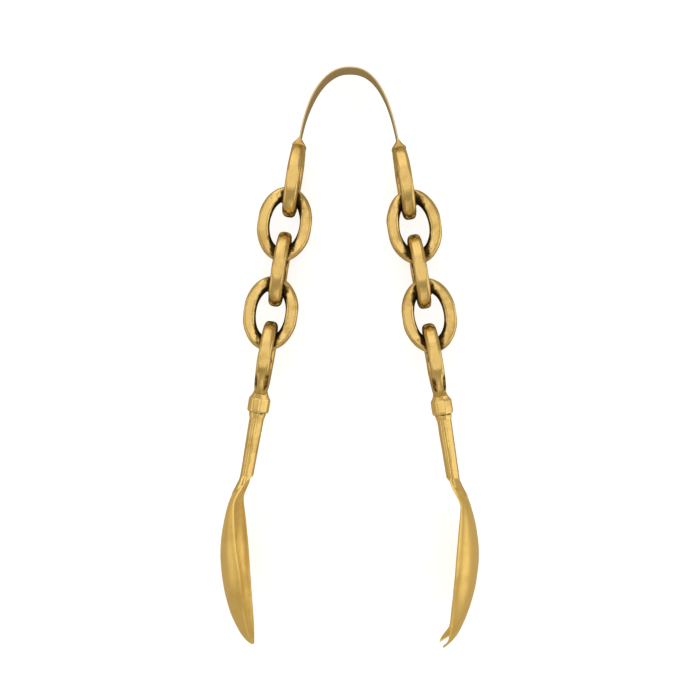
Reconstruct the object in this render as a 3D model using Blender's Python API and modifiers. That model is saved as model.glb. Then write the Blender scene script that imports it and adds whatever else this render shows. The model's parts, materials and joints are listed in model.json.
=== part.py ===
"""Serving tongs: a spring bow of flat strip carries two arms of brazed oval links.

One arm ends in a spoon bowl and the other in a bowl notched into two tines.
Metres, +Z up. The tongs lie on their side, as they rest on a table: the bow points
along +Y, the arms open along X, and the origin is under the middle of the whole.
"""

import math
from collections import namedtuple

import bmesh
import bpy
from mathutils import Matrix, Vector

MM = 0.001

# Gaps
CLEARANCE = 0.3 * MM  # brazed seams and fits
LINK_GAP = 1.2 * MM  # on the arm's line, between the inner ends of two linked links

# Spring bow, a strip on edge
BOW_HALF_SPAN = 23.5 * MM  # crown to the strip's end, across
SPOON_BOW_RISE = 34.4 * MM  # strip's end up to the crown, on the spoon's side
FORK_BOW_RISE = 35.6 * MM
BOW_THICKNESS = 0.8 * MM
BOW_CROWN_WIDTH = 13.2 * MM
BOW_END_WIDTH = 9.0 * MM

SPOON_TIP_RUN = 35.6 * MM  # deepest point of a bowl to its tip
FORK_TIP_RUN = 37.0 * MM
FORK_RIM_CUT = 1.5 * MM  # how much lower the fork bowl's rim was cut than the spoon's
SPOON_BACK_CUT = 0.8 * MM  # how much flatter the spoon bowl's back is than the fork's
SPOON_RIM_SWEEP = 2.0 * MM  # extra lean of a rim at its tip
FORK_RIM_SWEEP = 1.0 * MM

# The two arms at rest, made and bent by hand and so not quite alike
Arm = namedtuple(
    "Arm",
    "side lean"  # -1 or 1 across the tongs, and how far the arm leans out
    " bow_rise bow_fullness bow_twist"  # drop, power of the width (low is full), twist halfway
    " shank_tilt shank_turn"  # how the shank was set in its ferrule
    " tip_run rim_cut rim_sweep back_cut neck_twist closing tines",  # closing: power of the fall to the tip
)
SPOON = Arm(
    -1, math.radians(8.9),
    SPOON_BOW_RISE, 0.94, math.radians(4.8),
    math.radians(-1.0), 0.0,
    SPOON_TIP_RUN, 0.0, SPOON_RIM_SWEEP, SPOON_BACK_CUT, math.radians(6.0), 0.55, False,
)
FORK = Arm(
    1, math.radians(9.5),
    FORK_BOW_RISE, 0.82, 0.0,
    math.radians(0.7), math.radians(-6.5),
    FORK_TIP_RUN, FORK_RIM_CUT, FORK_RIM_SWEEP, 0.0, 0.0, 0.8, True,
)

# Solder cap on the top link, a roof around the strip's end
ROOF_RIDGE = 1.7 * MM  # height of its ridge above the link's top
ROOF_EAVE = 1.2 * MM  # how far its eaves lie below the link's top
ROOF_RIDGE_LIP = 0.5 * MM  # solder left on each face of the strip
ROOF_END_LIP = 1.2 * MM  # solder past the strip's edges
ROOF_EAVE_WIDTH = 6.6 * MM
ROOF_SKIRT = 2.6 * MM  # how far the cap reaches down over the link

# Oval links, from the bow down
LINK_NAMES = ("top_link", "upper_link", "middle_link", "lower_link", "end_link")
LINK_LENGTH = 36.0 * MM
LINK_WIDTH = 25.6 * MM  # over the filed flats of its flanks
LINK_SIDE_BAR = 5.7 * MM
LINK_END_BAR = 6.6 * MM
LINK_DEPTH = 6.4 * MM
LINK_SIDE_ROUND = 1.5 * MM
LINK_END_ROUND = 3.0 * MM
FLANK_FILING = 0.35 * MM  # depth that filing took off each flank
FACE_LINK_SHIFT = 1.2 * MM  # links seen face-on were brazed this far outside the arm's line

# End link: its lower half closes into a neck above the ferrule
NECK_WIDTH = 6.2 * MM
NECK_ROUND = 1.8 * MM
NECK_FLARE = 1.6  # power of the flare from the neck up to the flanks
NECK_DROP = 17.3 * MM  # from the link's middle down to the end of its neck
EYE_DROP = 9.0 * MM  # and to the bottom of its eye

# Ferrule and the two tangs that meet inside it
FERRULE_LENGTH = 11.3 * MM
FERRULE_RADIUS = 4.9 * MM
FERRULE_END_RADIUS = 3.4 * MM
FERRULE_TOP_CHAMFER = 1.9 * MM
FERRULE_FOOT_CHAMFER = 2.8 * MM
TANG_RADIUS = 2.1 * MM
TANG_DEPTH = 4.2 * MM
FACET_TURN = math.radians(11.0)  # the eight facets are turned this far from square

# Shank, measured down from the ferrule
SHANK_LENGTH = 31.0 * MM  # to the middle of its scarf
SHANK_TOP_WIDTH = 6.6 * MM
SHANK_END_WIDTH = 5.8 * MM
SCARF_ANGLE = math.radians(50.0)

# Bowl
BOWL_NECK_RUN = 43.0 * MM  # where the back starts to swell, to the deepest point
BOWL_NECK_LEAD = 3.0 * MM  # how far above the scarf the back starts to swell
BOWL_WIDTH = 42.0 * MM
BOWL_NECK_WIDTH = 7.0 * MM
BOWL_DEPTH = 12.1 * MM
BOWL_WALL = 1.4 * MM
BOWL_TILT = math.radians(13.4)  # the rim leans in from the shank's line
RIM_REACH = 6.5 * MM  # how far in the spoon's rim lies at the deepest point
NECK_LIFT = 4.9 * MM  # how far the neck's face stands above the rim's line
NECK_TUCK = 1.2 * MM  # how far the neck's back is drawn in to meet the shank
NECK_BLEND = 14.0 * MM
TROUGH_RUN = 12.0 * MM  # over this length the neck's flat face sinks into the bowl
NECK_TWIST_PEAK = 1 / 3  # power that sets the twist's peak at an eighth of the neck's run

# Notch and tines of the fork bowl
NOTCH_WIDTH = 5.6 * MM  # at its round root
NOTCH_MOUTH = 11.0 * MM  # at the tip
NOTCH_DEPTH = 10.0 * MM
TINE_CURL = 3.6 * MM
TINE_LENGTH = 7.5 * MM
TINE_TWIST = math.radians(12.0)  # turns the tines back against the turn of their shank

# Fineness of the facets
BOW_HALF_STEPS = 20
LINK_STATIONS = 32
CORNER_STEPS = 2
FACETS = 8  # of the ferrules and shanks
FACET_CORNER = 1 / math.cos(math.pi / FACETS)  # radius at the corners over radius at the flats
TANG_SIDES = 16
SHANK_TAIL_STATIONS = 8
BOWL_ARC_STEPS = 12
BOWL_NECK_STATIONS = 16
BOWL_TIP_STATIONS = 13
TIP_FACE = 1 / 3  # share of a section's width that stays as its face at the tip
TIP_BLUNT = 0.999  # the last section stops at this share of the run and is closed flat
MERGE = 0.01 * MM
SHARP_EDGE = math.radians(35)
LEVEL_ROUNDS = 6  # enough for the pitch on the table to settle

EDGE_ON = (0.0, math.radians(90), 0.0)  # turns a link a quarter about the arm's line
FACE_ON = (0.0, 0.0, 0.0)

# Colours, roughness: aged brass, duller where it was never handled
BRASS = ((0.72, 0.49, 0.17), 0.34)
BOWL_BRASS = ((0.74, 0.53, 0.22), 0.28)
BOW_BRASS = ((0.50, 0.34, 0.13), 0.38)
SOLDER = ((0.66, 0.45, 0.24), 0.45)


def clear_scene():
    """Empties the file, and makes one collection for the parts and one for the cutters."""
    for thing in list(bpy.data.objects):
        bpy.data.objects.remove(thing, do_unlink=True)
    made = []
    for name in ("serving_tongs", "cutters"):
        collection = bpy.data.collections.new(name)
        bpy.context.scene.collection.children.link(collection)
        made.append(collection)
    return made


def smoothstep(value):
    value = min(max(value, 0.0), 1.0)
    return value * value * (3.0 - 2.0 * value)


def brass_material(name, finish):
    """A metal of its own for one piece."""
    colour, roughness = finish
    material = bpy.data.materials.new(name)
    material.use_nodes = True
    shader = material.node_tree.nodes["Principled BSDF"]
    shader.inputs["Base Color"].default_value = (*colour, 1.0)
    shader.inputs["Metallic"].default_value = 1.0
    shader.inputs["Roughness"].default_value = roughness
    return material


def new_empty(name, parent=None, location=(0, 0, 0), rotation=(0, 0, 0)):
    empty = bpy.data.objects.new(name, None)
    parts_collection.objects.link(empty)
    empty.parent = parent
    empty.location = location
    empty.rotation_euler = rotation
    return empty


def new_part(name, mesh, finish, parent, location=(0, 0, 0), rotation=(0, 0, 0)):
    """One named piece of the tongs, shaded smooth between its real edges."""
    mesh.shade_smooth()
    mesh.set_sharp_from_angle(angle=SHARP_EDGE)
    part = bpy.data.objects.new(name, mesh)
    part.data.materials.append(brass_material(name, finish))
    parts_collection.objects.link(part)
    part.parent = parent
    part.location = location
    part.rotation_euler = rotation
    return part


def combine(part, mesh, operation, location, rotation=(0, 0, 0)):
    """Cuts a shape out of a part, or joins it on; the shape stays under the same parent."""
    tool = bpy.data.objects.new(mesh.name, mesh)
    cutters_collection.objects.link(tool)
    tool.parent = part.parent
    tool.location = location
    tool.rotation_euler = rotation
    tool.hide_render = True
    tool.display_type = "WIRE"
    boolean = part.modifiers.new(mesh.name, "BOOLEAN")
    boolean.operation = operation
    boolean.solver = "EXACT"
    boolean.object = tool


def mesh_from(bm, name):
    bmesh.ops.recalc_face_normals(bm, faces=bm.faces)
    mesh = bpy.data.meshes.new(name)
    bm.to_mesh(mesh)
    bm.free()
    return mesh


def loft(rings, closed=False):
    """Skins a row of sections that have the same number of points.

    A closed row runs back into its first section; an open one gets a face at each end.
    """
    bm = bmesh.new()
    rows = [[bm.verts.new(point) for point in ring] for ring in rings]
    count = len(rows[0])
    last = len(rows) if closed else len(rows) - 1
    for row in range(last):
        here, there = rows[row], rows[(row + 1) % len(rows)]
        for i in range(count):
            j = (i + 1) % count
            bm.faces.new((here[i], here[j], there[j], there[i]))
    if not closed:
        bm.faces.new(rows[0])
        bm.faces.new(rows[-1])
    return bm


def rounded_section(half_width, half_depth, rounding):
    """Corners of a rounded rectangle, as pairs of offsets across and through a bar."""
    rounding = min(rounding, half_width, half_depth)
    points = []
    for corner in range(4):
        start = corner * math.pi / 2
        side_x = 1 if corner in (0, 3) else -1
        side_y = 1 if corner in (0, 1) else -1
        for step in range(CORNER_STEPS + 1):
            angle = start + step * math.pi / 2 / CORNER_STEPS
            points.append((
                side_x * (half_width - rounding) + rounding * math.cos(angle),
                side_y * (half_depth - rounding) + rounding * math.sin(angle),
            ))
    return points


def link_pitch():
    """Distance between the middles of two links that hang in each other."""
    return LINK_LENGTH - 2 * LINK_END_BAR - LINK_GAP


def link_mesh(name, has_neck=False, grow=0.0):
    """One oval link, long axis on Y and flat in XY; grow swells it for a cutter.

    The bar is squarer at its flanks and rounder at its ends, where it sits in its
    neighbour, and the flanks are filed flat. With a neck, the lower half closes in.
    """
    half_length = LINK_LENGTH / 2 + grow
    half_width = LINK_WIDTH / 2 + grow
    crown = half_width + FLANK_FILING
    eye_length = LINK_LENGTH / 2 - LINK_END_BAR - grow
    eye_width = LINK_WIDTH / 2 - LINK_SIDE_BAR - grow
    rings = []
    for station in range(LINK_STATIONS):
        angle = 2 * math.pi * station / LINK_STATIONS
        across, along = math.sin(angle), math.cos(angle)
        outer = Vector((crown * across, half_length * along))
        inner = Vector((eye_width * across, eye_length * along))
        end_share = along * along
        half_depth = LINK_DEPTH / 2 + grow
        rounding = LINK_SIDE_ROUND + (LINK_END_ROUND - LINK_SIDE_ROUND) * end_share
        if has_neck and along < 0:
            half_neck = NECK_WIDTH / 2
            flare = abs(across) ** NECK_FLARE
            on_axis = 2 * station == LINK_STATIONS
            outer.x = 0.0 if on_axis else math.copysign(half_neck + (crown - half_neck) * flare, across)
            outer.y = NECK_DROP * along
            inner.y = EYE_DROP * along
            half_depth += (half_neck - LINK_DEPTH / 2) * end_share
            rounding = LINK_SIDE_ROUND + (NECK_ROUND - LINK_SIDE_ROUND) * end_share
        middle = (outer + inner) / 2
        out = (outer - inner).normalized()
        ring = []
        for width, depth in rounded_section((outer - inner).length / 2, half_depth, rounding):
            point = middle + out * width
            x = min(max(point.x, -half_width), half_width)
            ring.append((x, point.y, depth))
        rings.append(ring)
    bm = loft(rings, closed=True)
    # its faces are twisted: splitting them one way keeps the link and its cutter parallel
    bmesh.ops.triangulate(bm, faces=bm.faces, quad_method="FIXED")
    return mesh_from(bm, name)


def cylinder_mesh(name, radius, top, bottom, sides):
    """A round bar along Y between two heights."""
    bm = bmesh.new()
    turn = Matrix.Rotation(math.radians(90), 4, "X")
    place = Matrix.Translation((0, (top + bottom) / 2, 0)) @ turn
    bmesh.ops.create_cone(
        bm, cap_ends=True, segments=sides, radius1=radius, radius2=radius,
        depth=top - bottom, matrix=place,
    )
    return mesh_from(bm, name)


def bow_half(arm):
    """The quarter oval of one half of the bow: its half axes and its last angle.

    The oval is level at the crown and runs into the arm's own line at its end.
    """
    share = math.tan(arm.lean) * arm.bow_rise / (BOW_HALF_SPAN * arm.bow_fullness)
    cosine = share / (1 - share)
    last = math.acos(cosine)
    wide = BOW_HALF_SPAN / math.sin(last) ** arm.bow_fullness
    return wide, arm.bow_rise / (1 - cosine), last


def bow_points(arm):
    """Points down one half of the bow from the crown, as (across, down) from the crown."""
    wide, high, last = bow_half(arm)
    angles = [last * step / BOW_HALF_STEPS for step in range(BOW_HALF_STEPS + 1)]
    return [(wide * math.sin(a) ** arm.bow_fullness, high * (1 - math.cos(a))) for a in angles]


def flex_point(arm):
    """The elastic centre of one half of the bow: bending turns the arm about it."""
    points = bow_points(arm)
    total, across, down = 0.0, 0.0, 0.0
    for (x0, y0), (x1, y1) in zip(points, points[1:]):
        length = math.hypot(x1 - x0, y1 - y0)
        total += length
        across += length * (x0 + x1) / 2
        down += length * (y0 + y1) / 2
    return Vector((arm.side * across / total, -down / total, 0))


def make_bow(parent):
    """The spring bow: an open ribbon, widest at the crown, thickened both ways."""
    spoon_half = [(SPOON, step) for step in range(BOW_HALF_STEPS, 0, -1)]
    fork_half = [(FORK, step) for step in range(BOW_HALF_STEPS + 1)]
    bm = bmesh.new()
    rows = []
    for arm, step in spoon_half + fork_half:
        across, down = bow_points(arm)[step]
        away = step / BOW_HALF_STEPS
        half = (BOW_CROWN_WIDTH + (BOW_END_WIDTH - BOW_CROWN_WIDTH) * smoothstep(away)) / 2
        twist = math.tan(arm.bow_twist) * math.sin(math.pi * away)
        rows.append([
            bm.verts.new((arm.side * (across + edge * half * twist), -down, edge * half))
            for edge in (-1, 1)
        ])
    for (a, b), (c, d) in zip(rows, rows[1:]):
        bm.faces.new((a, b, d, c))
    bow = new_part("spring_bow", mesh_from(bm, "spring_bow"), BOW_BRASS, parent)
    thicken = bow.modifiers.new("thickness", "SOLIDIFY")
    thicken.thickness = BOW_THICKNESS
    thicken.offset = 0.0
    thicken.use_even_offset = True
    return bow


def make_solder(prefix, flex, top):
    """The roof of solder over the joint of strip and top link, cut to fit both."""
    half_ridge = BOW_THICKNESS / 2 + CLEARANCE + ROOF_RIDGE_LIP
    half_end = BOW_END_WIDTH / 2 + CLEARANCE + ROOF_RIDGE_LIP
    half_eave = ROOF_EAVE_WIDTH / 2
    half_skirt = BOW_END_WIDTH / 2 + CLEARANCE + ROOF_END_LIP
    rings = []
    for height, x, z in (
        (ROOF_RIDGE, half_ridge, half_end),
        (-ROOF_EAVE, half_eave, half_skirt),
        (-ROOF_SKIRT, half_eave, half_skirt),
    ):
        rings.append([(x, height, z), (-x, height, z), (-x, height, -z), (x, height, -z)])
    name = f"{prefix}_bow_solder"
    solder = new_part(name, mesh_from(loft(rings), name), SOLDER, flex, top)
    strip = bmesh.new()
    bmesh.ops.create_cube(strip, size=1.0)
    through = 2 * (ROOF_RIDGE + ROOF_SKIRT)
    size = (BOW_THICKNESS + 2 * CLEARANCE, through, BOW_END_WIDTH + 2 * CLEARANCE)
    bmesh.ops.scale(strip, vec=size, verts=strip.verts)
    combine(solder, mesh_from(strip, f"{name}_slot"), "DIFFERENCE", top)
    seat = link_mesh(f"{name}_seat", grow=CLEARANCE)
    link_middle = top + Vector((0, -LINK_LENGTH / 2, 0))
    combine(solder, seat, "DIFFERENCE", link_middle, EDGE_ON)


def make_chain(prefix, flex, top):
    """Five links, each turned a quarter from the last; the fifth has the neck and tang."""
    for index, piece in enumerate(LINK_NAMES):
        down = LINK_LENGTH / 2 + index * link_pitch()
        shift = -FACE_LINK_SHIFT if index % 2 else 0.0
        place = top + Vector((shift, -down, 0))
        turn = FACE_ON if index % 2 else EDGE_ON
        name = f"{prefix}_{piece}"
        is_last = index == len(LINK_NAMES) - 1
        link = new_part(name, link_mesh(name, has_neck=is_last), BRASS, flex, place, turn)
    crotch = -(EYE_DROP + NECK_DROP) / 2
    tang_end = -NECK_DROP - CLEARANCE - TANG_DEPTH
    tang = cylinder_mesh(f"{name}_tang", TANG_RADIUS, crotch, tang_end, TANG_SIDES)
    combine(link, tang, "UNION", place, turn)


def make_ferrule(prefix, flex, ferrule_top):
    """A faceted barrel, bored through for the two tangs."""
    bore = (TANG_RADIUS + CLEARANCE) * FACET_CORNER
    half = FERRULE_LENGTH / 2
    profile = (
        (bore, half),
        (FERRULE_END_RADIUS, half),
        (FERRULE_RADIUS, half - FERRULE_TOP_CHAMFER),
        (FERRULE_RADIUS, FERRULE_FOOT_CHAMFER - half),
        (FERRULE_END_RADIUS, -half),
        (bore, -half),
    )
    name = f"{prefix}_ferrule"
    bm = bmesh.new()
    points = [bm.verts.new((radius, 0, height)) for radius, height in profile]
    for here, there in zip(points, points[1:] + points[:1]):
        bm.edges.new((here, there))
    mesh = bpy.data.meshes.new(name)
    bm.to_mesh(mesh)
    bm.free()
    place = ferrule_top + Vector((0, -half, 0))
    stand_up = (math.radians(-90), FACET_TURN, 0)
    ferrule = new_part(name, mesh, BRASS, flex, place, stand_up)
    turned = ferrule.modifiers.new("turned", "SCREW")
    turned.steps = FACETS
    turned.render_steps = FACETS
    turned.use_merge_vertices = True
    turned.merge_threshold = MERGE
    turned.use_smooth_shade = False


def scarf(bm, keeps_upper):
    """Cuts a piece along the slanted seam of shank and bowl, half a clearance back."""
    up = Vector((-math.sin(SCARF_ANGLE), math.cos(SCARF_ANGLE), 0))
    step = CLEARANCE / 2 if keeps_upper else -CLEARANCE / 2
    seam = Vector((0, -SHANK_LENGTH, 0)) + up * step
    everything = bm.verts[:] + bm.edges[:] + bm.faces[:]
    bmesh.ops.bisect_plane(
        bm, geom=everything, plane_co=seam, plane_no=up,
        clear_inner=keeps_upper, clear_outer=not keeps_upper,
    )
    rim = [edge for edge in bm.edges if edge.is_boundary]
    bmesh.ops.contextual_create(bm, geom=rim)
    return bm


def bowl_profile(down, arm):
    """A section at a distance down: its rim, depth and half width outside and inside, twist."""
    root = SHANK_LENGTH - BOWL_NECK_LEAD
    deepest = root + BOWL_NECK_RUN
    tip = deepest + arm.tip_run
    line = RIM_REACH + math.tan(BOWL_TILT) * (down - deepest)
    full = BOWL_DEPTH - arm.back_cut
    deep = full - arm.rim_cut
    twist = 0.0
    half_width, half_neck = BOWL_WIDTH / 2, BOWL_NECK_WIDTH / 2
    if down < deepest:
        run = max(down - root, 0.0) / BOWL_NECK_RUN
        swell = math.sin(math.pi / 2 * run)
        neck = 1 - smoothstep((down - root) / NECK_BLEND)
        outer = half_neck + (half_width - half_neck) * swell
        inner = outer - BOWL_WALL
        # the twist turns the neck's face up about the rim that lies on the table
        twist = -math.tan(arm.neck_twist) * math.sin(math.pi * run**NECK_TWIST_PEAK)
        rim = line + NECK_LIFT * neck - arm.rim_cut * (1 - neck) + outer * twist
        depth = rim - (line + NECK_TUCK * neck - full * swell)
        hollow = max(depth - BOWL_WALL, 0.0) * smoothstep((down - SHANK_LENGTH) / TROUGH_RUN)
    else:
        run = (down - deepest) / arm.tip_run
        inner_run = min((down - deepest) / (arm.tip_run - BOWL_WALL), 1.0)
        rim = line - arm.rim_cut + arm.rim_sweep * run * run
        depth = deep * (1 - run * run) ** arm.closing
        outer = half_width * math.sqrt(1 - run * run)
        hollow = (deep - BOWL_WALL) * (1 - inner_run * inner_run) ** arm.closing
        inner = (half_width - BOWL_WALL) * math.sqrt(1 - inner_run * inner_run)
        inner = max(inner, outer * TIP_FACE)
    if arm.tines:
        tine = smoothstep((down - tip + TINE_LENGTH) / TINE_LENGTH)
        rim += TINE_CURL * tine
        twist += math.tan(TINE_TWIST) * tine
    return rim, depth, outer, hollow, inner, twist


def shank_ring(down, radius, arm, is_tail):
    """A faceted section of the shank; in the tail it swells out to the back of the bowl."""
    flat = radius / FACET_CORNER
    back, half, twist = flat, flat, 0.0
    if is_tail:
        rim, depth, outer, _, _, twist = bowl_profile(down, arm)
        back, half = max(flat, depth - rim), max(flat, outer)
    ring = []
    for i in range(FACETS):
        angle = FACET_TURN + 2 * math.pi * (i + 0.5) / FACETS
        x, z = radius * math.cos(angle), radius * math.sin(angle) * half / flat
        ring.append(((x * back / flat if x < 0 else x) + z * twist, -down, z))
    return ring


def make_shank(prefix, arm, flex, place, turn):
    """A faceted rod: a tang in the ferrule, a shoulder, and a scarfed tail on the bowl's back."""
    taper = (SHANK_END_WIDTH - SHANK_TOP_WIDTH) / SHANK_LENGTH
    root = SHANK_LENGTH - BOWL_NECK_LEAD
    reach = SHANK_LENGTH + BOWL_DEPTH * math.tan(SCARF_ANGLE)
    rings = [shank_ring(-TANG_DEPTH, TANG_RADIUS, arm, False)]
    rings.append(shank_ring(CLEARANCE, TANG_RADIUS, arm, False))
    rings.append(shank_ring(CLEARANCE, SHANK_TOP_WIDTH / 2 * FACET_CORNER, arm, False))
    for step in range(SHANK_TAIL_STATIONS + 1):
        down = root + (reach - root) * step / SHANK_TAIL_STATIONS
        radius = (SHANK_TOP_WIDTH + taper * down) / 2 * FACET_CORNER
        rings.append(shank_ring(down, radius, arm, True))
    name = f"{prefix}_shank"
    new_part(name, mesh_from(scarf(loft(rings), True), name), BRASS, flex, place, turn)


def bowl_section(down, arm):
    """One section across a bowl: its outer back, then its hollow face, at a distance down."""
    rim, depth, outer, hollow, inner, twist = bowl_profile(down, arm)
    back, face = [], []
    for step in range(BOWL_ARC_STEPS + 1):
        angle = math.pi * step / BOWL_ARC_STEPS
        for row, deep, half in ((back, depth, outer), (face, hollow, inner)):
            z = half * math.cos(angle)
            row.append((rim - deep * math.sin(angle) + z * twist, -down, z))
    return back + face[::-1]


def bowl_stations(arm):
    """Distances down to a bowl's sections, closing up towards the tip."""
    root = SHANK_LENGTH - BOWL_NECK_LEAD
    start = SHANK_LENGTH - BOWL_NECK_WIDTH * math.tan(SCARF_ANGLE)
    deepest = root + BOWL_NECK_RUN
    stations = [start]
    for step in range(BOWL_NECK_STATIONS):
        stations.append(root + BOWL_NECK_RUN * step / BOWL_NECK_STATIONS)
    for step in range(BOWL_TIP_STATIONS + 1):
        share = min(math.sin(math.pi / 2 * step / BOWL_TIP_STATIONS), TIP_BLUNT)
        stations.append(deepest + arm.tip_run * share)
    return stations


def notch_mesh(name):
    """A slot with a round root, running out past the tip, to cut through the bowl's wall."""
    tip = SHANK_LENGTH - BOWL_NECK_LEAD + BOWL_NECK_RUN + FORK_TIP_RUN
    radius = NOTCH_WIDTH / 2
    root = -(tip - NOTCH_DEPTH + radius)
    past = -(tip + radius)
    half_mouth = radius + (NOTCH_MOUTH / 2 - radius) * NOTCH_DEPTH / (NOTCH_DEPTH - radius)
    outline = [(past, half_mouth), (past, -half_mouth)]
    for step in range(TANG_SIDES // 2 + 1):
        angle = -math.pi / 2 + math.pi * step / (TANG_SIDES // 2)
        outline.append((root + radius * math.cos(angle), radius * math.sin(angle)))
    reach = BOWL_DEPTH + TINE_CURL
    middle = RIM_REACH + math.tan(BOWL_TILT) * FORK_TIP_RUN
    rings = [[(middle + side * reach, y, z) for y, z in outline] for side in (-1, 1)]
    return mesh_from(loft(rings), name)


def make_bowl(prefix, arm, flex, place, turn):
    """A bowl lofted from its neck to its tip; the fork's is notched into two tines."""
    name = f"{prefix}_bowl"
    rings = [bowl_section(down, arm) for down in bowl_stations(arm)]
    bowl = new_part(name, mesh_from(scarf(loft(rings), False), name), BOWL_BRASS, flex, place, turn)
    if arm.tines:
        combine(bowl, notch_mesh(f"{name}_notch"), "DIFFERENCE", place, turn)


def make_arm(prefix, arm, tongs):
    """One arm, hung from an empty on the axis about which the bow lets it swing.

    In the empty's frame -Y runs down the arm and +X points in at the other arm.
    """
    pivot = flex_point(arm)
    half_turn = math.pi if arm.side > 0 else 0.0
    flex = new_empty(f"{prefix}_arm_flex", tongs, pivot, (0, half_turn, arm.side * arm.lean))
    strip_end = Vector((arm.side * BOW_HALF_SPAN, -arm.bow_rise, 0))
    to_arm = flex.rotation_euler.to_matrix().inverted()
    top = to_arm @ (strip_end - pivot) + Vector((0, -CLEARANCE, 0))
    make_solder(prefix, flex, top)
    make_chain(prefix, flex, top)
    chain_length = LINK_LENGTH / 2 + (len(LINK_NAMES) - 1) * link_pitch() + NECK_DROP
    ferrule_top = top + Vector((0, -chain_length - CLEARANCE, 0))
    make_ferrule(prefix, flex, ferrule_top)
    ferrule_end = ferrule_top + Vector((0, -FERRULE_LENGTH, 0))
    turn = (0, arm.shank_turn, arm.shank_tilt)
    make_shank(prefix, arm, flex, ferrule_end, turn)
    make_bowl(prefix, arm, flex, ferrule_end, turn)
    return flex


def world_points(part):
    """A part's points in world space, with its modifiers."""
    graph = bpy.context.evaluated_depsgraph_get()
    shown = part.evaluated_get(graph)
    return [shown.matrix_world @ vertex.co for vertex in shown.data.vertices]


def lay_on_table(tongs):
    """Pitches the tongs until bowls and links both touch z = 0, and centres them over it."""
    parts = [thing for thing in parts_collection.objects if thing.type == "MESH"]
    bpy.context.view_layer.update()
    bowls, rest = [], []
    for part in parts:
        group = bowls if part.name.endswith("_bowl") else rest
        group.extend(world_points(part))
    pitch = 0.0
    for _ in range(LEVEL_ROUNDS):
        level = Matrix.Rotation(pitch, 3, "X")
        low_bowl = min(bowls, key=lambda point: (level @ point).z)
        low_rest = min(rest, key=lambda point: (level @ point).z)
        pitch = math.atan((low_rest.z - low_bowl.z) / (low_bowl.y - low_rest.y))
    level = Matrix.Rotation(pitch, 3, "X")
    points = [level @ point for point in bowls + rest]
    low = [min(point[axis] for point in points) for axis in range(3)]
    high = [max(point[axis] for point in points) for axis in range(3)]
    tongs.rotation_euler = (pitch, 0, 0)
    tongs.location = (-(low[0] + high[0]) / 2, -(low[1] + high[1]) / 2, -low[2])
    bpy.context.view_layer.update()
    return pitch


parts_collection, cutters_collection = clear_scene()
tongs = new_empty("tongs_on_table")
make_bow(tongs)
spoon_flex = make_arm("spoon", SPOON, tongs)
fork_flex = make_arm("fork", FORK, tongs)
table_pitch = lay_on_table(tongs)

print(f"pitch on the table {math.degrees(table_pitch):.3f} degrees")
for flex in (spoon_flex, fork_flex):
    print(flex.name, "pivot", [round(value, 6) for value in flex.matrix_world.translation])
depth_axis = tongs.matrix_world.to_3x3() @ Vector((0, 0, 1))
print("swing axis", [round(value, 6) for value in depth_axis])
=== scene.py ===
# %% [markdown]
# # Serving tongs with arms of brazed links
# A springy strip of brass, bent into a bow, carries two arms. Each arm is a short chain
# of oval links that were brazed stiff, and below it a ferrule, a shank and a bowl: a
# plain spoon on one arm, and a spoon notched into two tines on the other.
# The packed model gives every piece its place. This lesson keeps the places and makes
# finer, hand-worked copies of the pieces with an aged brass finish.

# %% Load the packed model
import json
import math

import bmesh
import bpy
import numpy as np
from mathutils import Matrix, Vector, noise
from mathutils.bvhtree import BVHTree
from mathutils.kdtree import KDTree


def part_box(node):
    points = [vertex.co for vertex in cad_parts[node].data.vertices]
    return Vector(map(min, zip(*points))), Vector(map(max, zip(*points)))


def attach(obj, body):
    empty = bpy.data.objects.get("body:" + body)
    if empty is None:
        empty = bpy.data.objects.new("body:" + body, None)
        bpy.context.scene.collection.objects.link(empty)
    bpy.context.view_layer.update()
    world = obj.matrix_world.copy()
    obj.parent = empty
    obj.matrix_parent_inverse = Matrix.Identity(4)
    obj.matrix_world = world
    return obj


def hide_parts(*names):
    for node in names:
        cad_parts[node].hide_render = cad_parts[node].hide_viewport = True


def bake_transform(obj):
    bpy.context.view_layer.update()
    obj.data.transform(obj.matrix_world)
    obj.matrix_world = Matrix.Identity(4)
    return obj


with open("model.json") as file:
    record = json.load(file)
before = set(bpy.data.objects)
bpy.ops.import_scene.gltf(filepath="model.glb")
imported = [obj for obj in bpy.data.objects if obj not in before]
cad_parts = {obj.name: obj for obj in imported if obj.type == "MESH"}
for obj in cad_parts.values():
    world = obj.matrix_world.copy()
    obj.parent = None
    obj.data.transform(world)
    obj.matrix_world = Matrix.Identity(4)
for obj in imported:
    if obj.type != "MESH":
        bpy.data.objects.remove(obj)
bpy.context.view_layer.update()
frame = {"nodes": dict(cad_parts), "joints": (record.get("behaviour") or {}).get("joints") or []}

MM = 0.001

# %% [markdown]
# ## Three frames of reference
# The tongs lie on a table, pitched a little because the bowls are deeper than the links.
# Shapes are easiest to write in frames of their own: the tongs' frame has the crown of
# the bow at its origin and Z along the swing axis, and in an arm's frame -Y runs down the
# chain and +X points in at the other arm. All of them are measured from the CAD nodes,
# so nothing here has to be fitted by eye.

# %% Frame of the tongs
SIDES = ("spoon", "fork")
BOW_THICKNESS = 0.8 * MM
CROWN_SLICE = 0.01 * MM
swing = {joint["child"]: Vector(joint["axis"]) for joint in frame["joints"]}
depth_axis = swing["spoon_arm"].normalized()
up_axis = depth_axis.cross(Vector((1, 0, 0)))


def axes(x, y, z, origin):
    """A frame with these three axes and this origin."""
    turn = Matrix((x, y, z)).transposed().to_4x4()
    return Matrix.Translation(origin) @ turn


def crown_point():
    """Middle of the strip at the top of the bow."""
    points = [v.co for v in frame["nodes"]["spring_bow"].data.vertices]
    highest = max(p.dot(up_axis) for p in points)
    top = [p for p in points if p.dot(up_axis) > highest - CROWN_SLICE]
    return sum(top, Vector()) / len(top) - up_axis * BOW_THICKNESS / 2


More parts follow.
